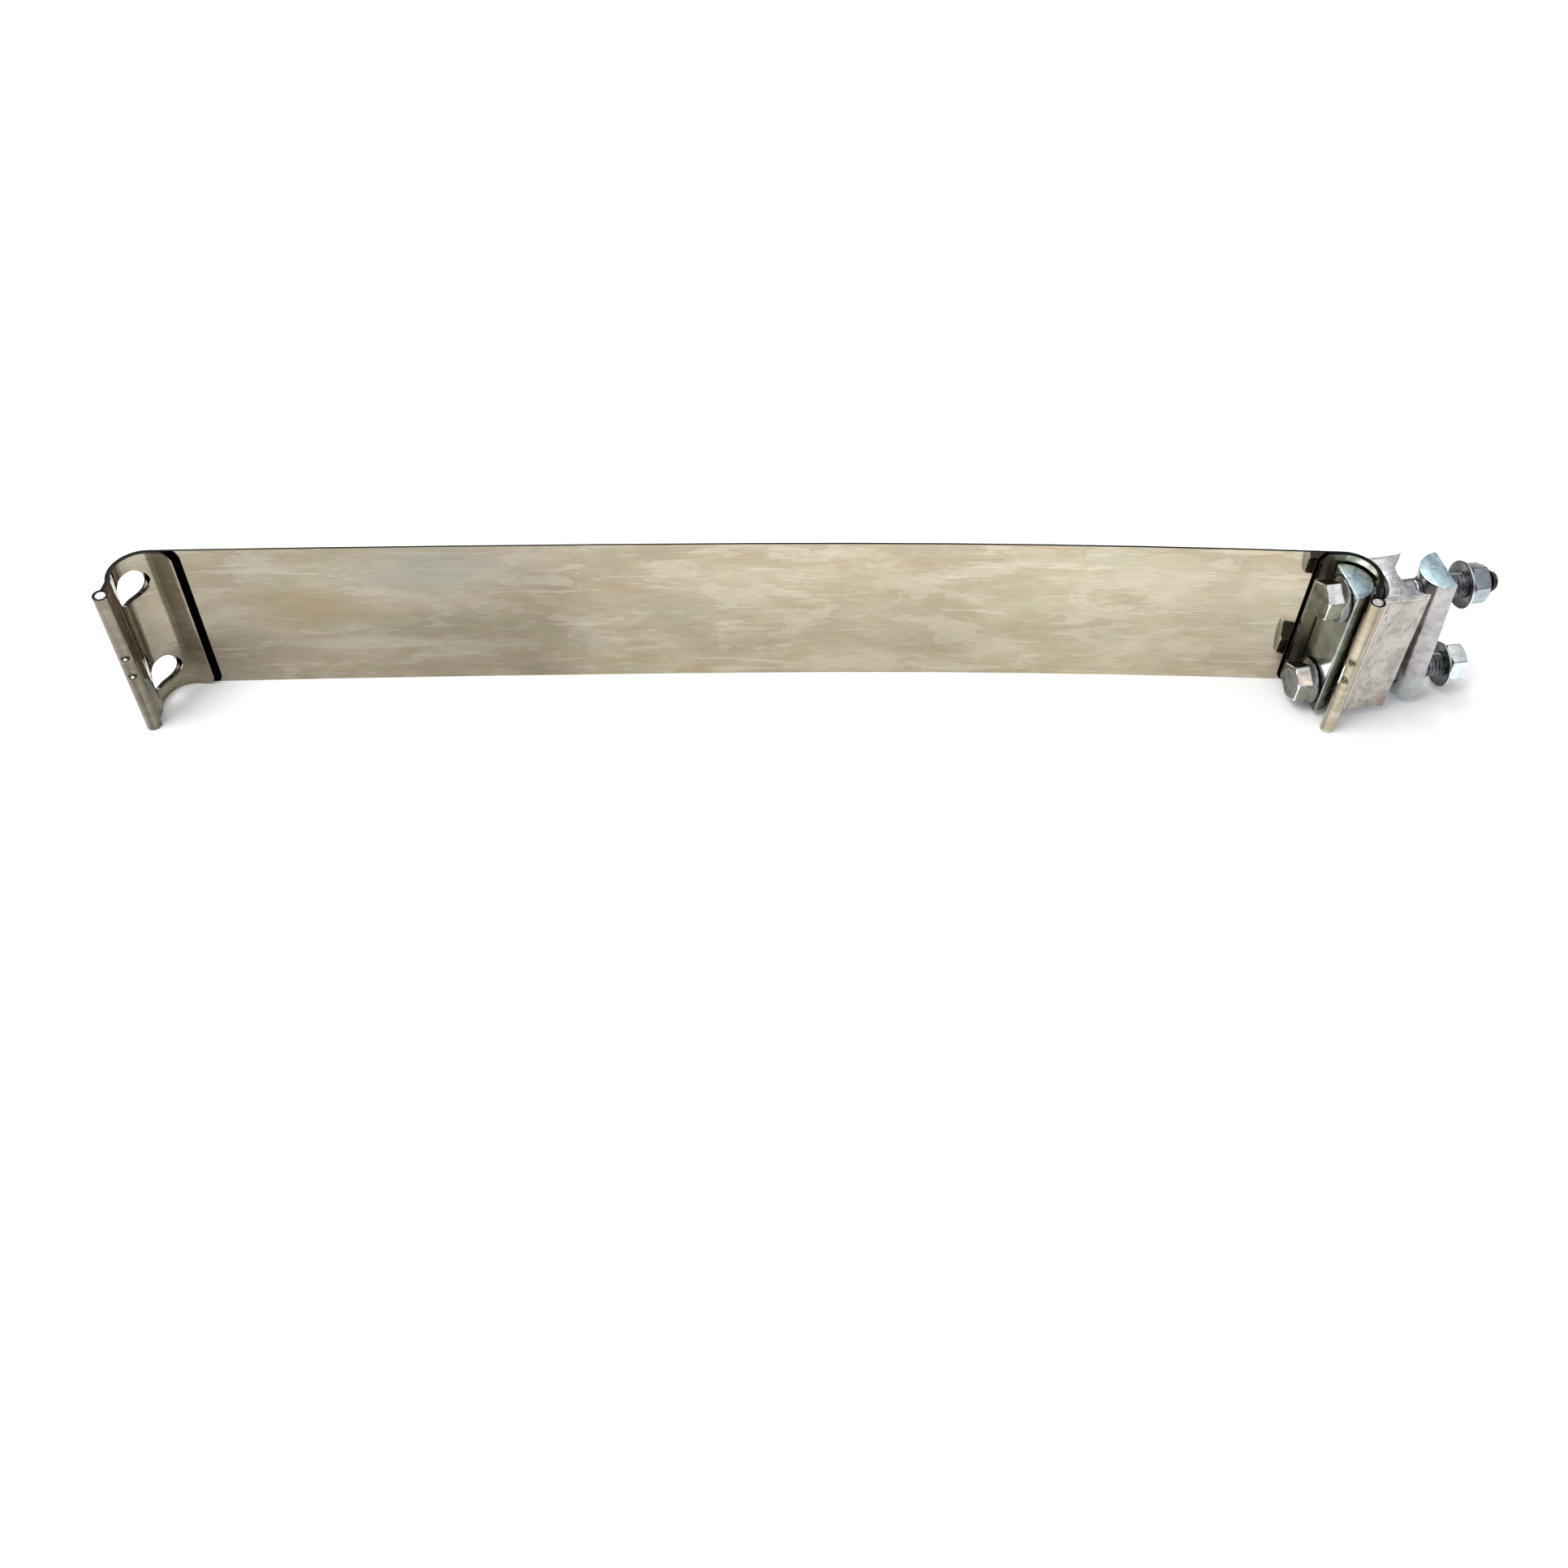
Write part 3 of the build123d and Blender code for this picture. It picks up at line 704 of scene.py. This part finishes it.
def block():
    """Hourglass block between the hooks: sawn ends with a raised burr, scuffed faces."""
    radius = 14.0                               # of the two recesses, and their centres
    left, right = (2.0, 0.0), (35.8, 0.9)
    near, far = -11.7, 12.6
    pipe = 76.2
    top = 31.0

    def edge_of(centre, w, sign):
        return centre[0] + sign * sqrt(radius ** 2 - (w - centre[1]) ** 2)

    def angle_to(centre, w, sign):
        return atan2(w - centre[1], sign * sqrt(radius ** 2 - (w - centre[1]) ** 2)) * 180 / pi

    section = arc(left, radius, angle_to(left, far, 1), angle_to(left, near, 1), 40)
    start, end = angle_to(right, near, -1) % 360, angle_to(right, far, -1) % 360
    section += arc(right, radius, start, end, 40)
    u0, u1 = edge_of(right, far, -1), edge_of(left, far, 1)
    middle, half = (u0 + u1) / 2, abs(u0 - u1) / 2
    lift = far + sqrt(pipe ** 2 - half ** 2)
    section += [(u, lift - sqrt(pipe ** 2 - (u - middle) ** 2))
                for u in (u0 + (u1 - u0) * k / 24 for k in range(1, 24))]
    section = rounded(outline(section, 0.6), 0.35)

    def worked(p, n):
        slow = noise.noise(Vector((p.x * 0.12, p.y * 0.12 + 7, p.z * 0.10)))
        quick = noise.noise(Vector((p.x * 0.55, p.y * 0.55, p.z * 0.5 + 3)))
        inward = 0.12 + 0.10 * slow + 0.05 * quick
        if n.y < -0.8:                          # the near face has a smeared lip under its top edge
            lip = top - 1.9 - 0.5 * noise.noise(Vector((p.x * 0.35, 0, 2)))
            inward -= 0.16 * max(0, 1 - abs(p.z - lip) / 0.5)
            inward += 0.10 * max(0, 1 - abs(p.z - lip + 1.0) / 0.7)
        rag = 0.16 * noise.noise(Vector((p.x * 0.9, p.y * 0.9, 11)))
        z = p.z + (rag - 0.08 if abs(p.z) > top - 0.5 else 0) * (1 if p.z > 0 else -1)
        moved = p - n * inward
        return Vector((moved.x, moved.y, z))

    rows = drawn(section, -top, top, 0.3, 0.6, worked)
    piece = drawn_piece("block", rows, looks["block"], bolt_frame, 5.5, (0, 40))
    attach(piece, "block")
    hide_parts("reaction_block")


# ---- fasteners ----
def thread_rows(start, end):
    """Rows of a rolled thread from start to end along X, running out smoothly at both ends."""
    depth = 0.6134 * pitch
    angles = around(48)
    rows = []
    count = round((end - start) / pitch * 9)
    for i in range(count + 1):
        row = []
        for angle in angles:
            x = start + (end - start) * i / count
            fade = min(1, (x - start) / pitch, (end - x) / pitch)
            x += fade * pitch * (angle / (2 * pi) - 0.5) * 0.98
            phase = ((x / pitch) - angle / (2 * pi)) % 1
            tooth = abs(phase - 0.5) * 2
            groove = min(1, max(0, (tooth - 0.16) / 0.62))
            run_in = min(1, max(0, (x - start) / (1.2 * pitch)))
            r = thread_radius - depth * groove * run_in
            tip = end - 0.2
            r = min(r, thread_radius - max(0, x - (tip - 1.3)) * 0.75)
            row.append((x, r * cos(angle), r * sin(angle)))
        rows.append(row)
    return rows


def bolt(name, node, height, seed):
    """Hex flange bolt: forged head, plain shank, rolled thread and rounded tip."""
    top = -8.6
    slope = tan(radians(33))

    def face(angle):
        return min(hexagon()(angle) * 0.93, 7.1)

    def face_less(inset):
        return lambda angle: face(angle) - inset

    cone = 1.2 / (flange_radius - hex_half)

    def on_flange(shift, lift):
        return lambda angle: -1.35 - cone * (9.3 - hexagon()(angle) - shift) - lift

    rows = [ring(-0.1, 4.75, hex_angles), ring(-0.1, 9.1, hex_angles), ring(-0.22, 9.38, hex_angles),
            ring(-0.5, 9.5, hex_angles), ring(-1.0, 9.5, hex_angles), ring(-1.25, 9.38, hex_angles),
            ring(-1.38, 9.15, hex_angles),
            ring(on_flange(0.45, 0.0), hexagon(-0.45), hex_angles),
            ring(on_flange(0.1, 0.12), hexagon(-0.1), hex_angles),
            ring(on_flange(0.0, 0.5), hexagon(), hex_angles),
            ring(turned(top, face, slope, -1, 0.28), hexagon(), hex_angles),
            ring(turned(top, face, slope, -1, 0.08), hexagon(0.04), hex_angles),
            ring(turned(top, face, slope, -1, -0.05), hexagon(0.16), hex_angles),
            ring(top + 0.12, face_less(-0.12), hex_angles), ring(top + 0.03, face_less(0.0), hex_angles),
            ring(top, face_less(0.25), hex_angles), ring(top + 0.02, 5.6, hex_angles),
            ring(top + 0.22, 5.1, hex_angles), ring(top + 0.3, 4.2, hex_angles),
            ring(top + 0.3, 2.0, hex_angles)]
    # Blender seeds noise_vector by the clock, so the heads and the nuts differ by up to 0.05 mm between runs
    shift = Vector((seed, 0, 0))
    rows = [[tuple(Vector(p) + 0.03 * noise.noise_vector(Vector(p) * 0.6 + shift)) for p in row] for row in rows]
    head_points, head_faces = skin(rows, close_start=False)
    plain = [ring(x, r, around(48)) for x, r in ((-0.1, 4.75), (0.4, 4.7), (28.0, 4.7), (28.6, 4.76))]
    shank = plain + thread_rows(28.8, 63.0)
    tip = ((63.2, 3.8), (63.6, 3.65), (63.92, 3.35), (64.1, 2.9), (64.16, 2.2), (64.08, 1.0))
    shank += [ring(x, r, around(48)) for x, r in tip]
    shank_points, shank_faces = skin(shank, close_start=False)
    first = len(head_points)
    points = head_points + shank_points
    faces = head_faces + [tuple(i + first for i in f) for f in shank_faces]
    at = bolt_frame @ Matrix.Translation((0, 0, height * MM))
    piece = build(name, points, faces, looks["head_" + name], at, 30)
    piece.data.materials.append(looks["thread"])
    for polygon in piece.data.polygons:
        if polygon.center.x > -0.05 * MM:
            polygon.material_index = 1
    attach(piece, node)
    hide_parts(node)


def washer(name, node, at_x, height, material):
    """Conical washer pressed from sheet, its hollow side to the bar."""
    profile = [(0.1, 9.34), (0.0, 9.12), (0.1, 8.4), (0.38, 7.0), (0.76, 5.3), (0.86, 5.05), (1.0, 5.0),
               (1.85, 5.0), (1.97, 5.08), (1.94, 5.35), (1.6, 7.0), (1.32, 8.6), (1.18, 9.2), (1.06, 9.42),
               (0.6, 9.5), (0.25, 9.47)]
    rows = [ring(x, r, around(72)) for x, r in profile]
    rows.append(rows[0])
    points, faces = skin(rows, False, False)
    at = bolt_frame @ Matrix.Translation(Vector((at_x, 0, height)) * MM)
    piece = build(name, points, faces, material, at, 30)
    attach(piece, node)
    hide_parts(node)


def nut(name, node, at_x, height, spin, material, seed):
    """Hex nut, its corners turned down at both ends and its bore countersunk."""
    length = 7.3
    face = 6.75
    slope = tan(radians(30))
    bore = 4.815
    rows = [ring(1.0, bore, hex_angles), ring(0.35, bore, hex_angles), ring(0.0, 5.2, hex_angles),
            ring(0.0, face - 0.2, hex_angles), ring(0.05, face + 0.02, hex_angles),
            ring(turned(0, face, slope, -1, 0.0), hexagon(0.06), hex_angles),
            ring(turned(0, face, slope, -1, 0.22), hexagon(), hex_angles),
            ring(turned(length, face, slope, 1, 0.22), hexagon(), hex_angles),
            ring(turned(length, face, slope, 1, 0.0), hexagon(0.06), hex_angles),
            ring(length - 0.05, face + 0.02, hex_angles), ring(length, face - 0.2, hex_angles),
            ring(length, 5.35, hex_angles), ring(length - 0.5, bore, hex_angles),
            ring(length - 1.2, bore, hex_angles), ring(1.0, bore, hex_angles)]
    shift = Vector((seed, 0, 0))

    def worn(p):
        if hypot(p[1], p[2]) > 5.5:
            return tuple(Vector(p) + 0.03 * noise.noise_vector(Vector(p) * 0.6 + shift))
        return tuple(Vector(p))

    points, faces = skin([[worn(p) for p in row] for row in rows], False, False)
    turn = Matrix.Rotation(radians(spin), 4, "X")
    at = bolt_frame @ Matrix.Translation(Vector((at_x, 0, height)) * MM) @ turn
    piece = build(name, points, faces, material, at, 30)
    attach(piece, node)
    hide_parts(node)


# Painted reflections: the tones of the bolt heads' facets below the upper front one, and of those behind
below, behind = (0.22, 0.23, 0.165), (0.05, 0.045, 0.035)
looks = {
    "rod": rod_look(),
    "block": block_look(),
    "thread": thread_look(),
    "hook_bar": bar_look("hook_bar_look", (0.1, 0.4, 0.2), (0.83, 0.91, 0.97), (0.60, 0.66, 0.68), True),
    "nut_bar": bar_look("nut_bar_look", (0.7, 0.2, 0.9), (1.15, 1.3, 1.38), (0.88, 0.86, 0.88)),
    # The heads' and nuts' facet tones and the heads' end tones are painted reflections, lighter on some pieces
    # than on others
    "head_bolt_upper": fastener_look("head_upper_look", (1.0, 0.2, 0.3), painted_end_tone=0.9,
                                     painted_facet_tones=((0.96, 0.93, 0.95), below, behind)),
    "head_bolt_lower": fastener_look("head_lower_look", (0.4, 1.6, 0.1), painted_end_tone=0.58,
                                     painted_facet_tones=((0.72, 0.68, 0.65), below, behind)),
    "nut_upper": fastener_look("nut_upper_look", (2.2, 0.7, 1.4), (0.40, 0.45, 0.48),
                               ((0.33, 0.39, 0.42), (0.42, 0.48, 0.52), (0.16, 0.17, 0.17))),
    "nut_lower": fastener_look("nut_lower_look", (1.2, 2.7, 0.4), (0.42, 0.46, 0.49),
                               ((0.93, 1.0, 1.0), (0.80, 0.87, 0.89), (0.2, 0.21, 0.21))),
    "washer": fastener_look("washer_look", (0.2, 3.1, 0.8), (0.20, 0.22, 0.215), hollow=True),
}

strip()
rod("rod_left", "left_hem_rod")
rod("rod_right", "right_hem_rod")
bar("bar_hook", "hook_bar", "hook_bar", looks["hook_bar"], bolt_frame, radius=10.2, hole=5.3, seed=3)

# The second bar turns its round side to the block and hangs tilted on the bolts
nut_bar_radius, nut_bar_seat, nut_bar_tilt = 10.8, 43.9, -4.5
half_bar = nut_bar_radius / 2
nut_bar_at = (bolt_frame @ Matrix.Translation((nut_bar_seat * MM - half_bar * MM, 0, 0))
              @ Matrix.Rotation(radians(nut_bar_tilt), 4, "Y")
              @ Matrix.Rotation(pi, 4, "Z") @ Matrix.Translation((-half_bar * MM, 0, 0)))
bar("bar_nut", "nut_bar", "nut_bar", looks["nut_bar"], nut_bar_at, radius=nut_bar_radius, hole=5.6, seed=8,
    offset=0.4, trim=9.7)
block()

# Washers and nuts are placed along the bolts from the swing axis, in millimetres; a nut's turn is in degrees
bolt("bolt_upper", "upper_bolt", bolt_side, 1)
bolt("bolt_lower", "lower_bolt", -bolt_side, 5)
washer("washer_upper", "upper_washer", 49.6, bolt_side, looks["washer"])
washer("washer_lower", "lower_washer", 56.2, -bolt_side, looks["washer"])
nut("nut_upper", "upper_nut", 51.7, bolt_side, 4, looks["nut_upper"], 2)
nut("nut_lower", "lower_nut", 58.3, -bolt_side, -16, looks["nut_lower"], 4)

# ---- floor, camera and light ----
floor_look = Look("floor_look", 0.0, 0.9)
floor_look.set(Base_Color=floor_look.ramp(floor_look.noise(3, 4), (0.3, (0.90, 0.905, 0.915)),
                                          (0.7, (0.925, 0.92, 0.92))))
bpy.ops.mesh.primitive_plane_add(size=8)
floor = bpy.context.object
floor.name = "floor"
floor.data.materials.append(floor_look.material)

picture = 1932                          # pixels along each side
focal = 1972.0                          # pixels
axis_right, axis_up = 30.747, 1.387     # the lens's axis meets the picture this many pixels off its middle
film = 36
down, lean, turn = radians(49.789), radians(2.51), radians(3.627)
ahead = Vector((sin(turn) * cos(down), cos(turn) * cos(down), -sin(down)))
level = Vector((cos(turn), -sin(turn), 0))
above = level.cross(ahead)
right_dir = level * cos(lean) + above * sin(lean)
up_dir = above * cos(lean) - level * sin(lean)
camera = bpy.data.cameras.new("camera")
camera.sensor_width = film
camera.lens = focal / picture * film
camera.shift_x = -axis_right / picture
camera.shift_y = -axis_up / picture
camera_object = bpy.data.objects.new("camera", camera)
bpy.context.scene.collection.objects.link(camera_object)
pose = Matrix((right_dir, up_dir, -ahead)).transposed().to_4x4()
pose.translation = (-0.030035, -0.446274, 0.477428)
camera_object.matrix_world = pose
bpy.context.scene.camera = camera_object


def softbox(name, place, target, size, power):
    light = bpy.data.lights.new(name, "AREA")
    light.shape, light.size, light.size_y = "RECTANGLE", size[0], size[1]
    light.energy = power
    box = bpy.data.objects.new(name, light)
    box.location = place
    box.rotation_euler = (Vector(target) - Vector(place)).to_track_quat("-Z", "Y").to_euler()
    bpy.context.scene.collection.objects.link(box)


softbox("key", (-0.7, -0.3, 1.35), (-0.05, 0, 0), (0.8, 0.7), 17)
softbox("front", (0.0, -1.3, 1.0), (0, 0, 0), (1.4, 0.8), 6)
softbox("back", (-0.35, 0.75, 1.3), (0, 0, 0), (0.7, 0.6), 9)

world = bpy.data.worlds.new("room")
bpy.context.scene.world = world
world.use_nodes = True
nodes, links = world.node_tree.nodes, world.node_tree.links
parts = nodes.new("ShaderNodeSeparateXYZ")
links.new(nodes.new("ShaderNodeTexCoord").outputs["Generated"], parts.inputs[0])
ramp = nodes.new("ShaderNodeValToRGB")
links.new(parts.outputs["Z"], ramp.inputs[0])
# Grey by height above the horizon: dark a third of the way up and bright overhead
sky = ((0.0, 0.55), (0.35, 0.16), (0.63, 0.55), (1.0, 1.0))
while len(ramp.color_ramp.elements) < len(sky):
    ramp.color_ramp.elements.new(0.5)
for element, (place, grey) in zip(ramp.color_ramp.elements, sky):
    element.position, element.color = place, (grey, grey, grey * 1.02, 1)
links.new(ramp.outputs[0], nodes["Background"].inputs[0])
bpy.context.scene.view_settings.view_transform = "Standard"
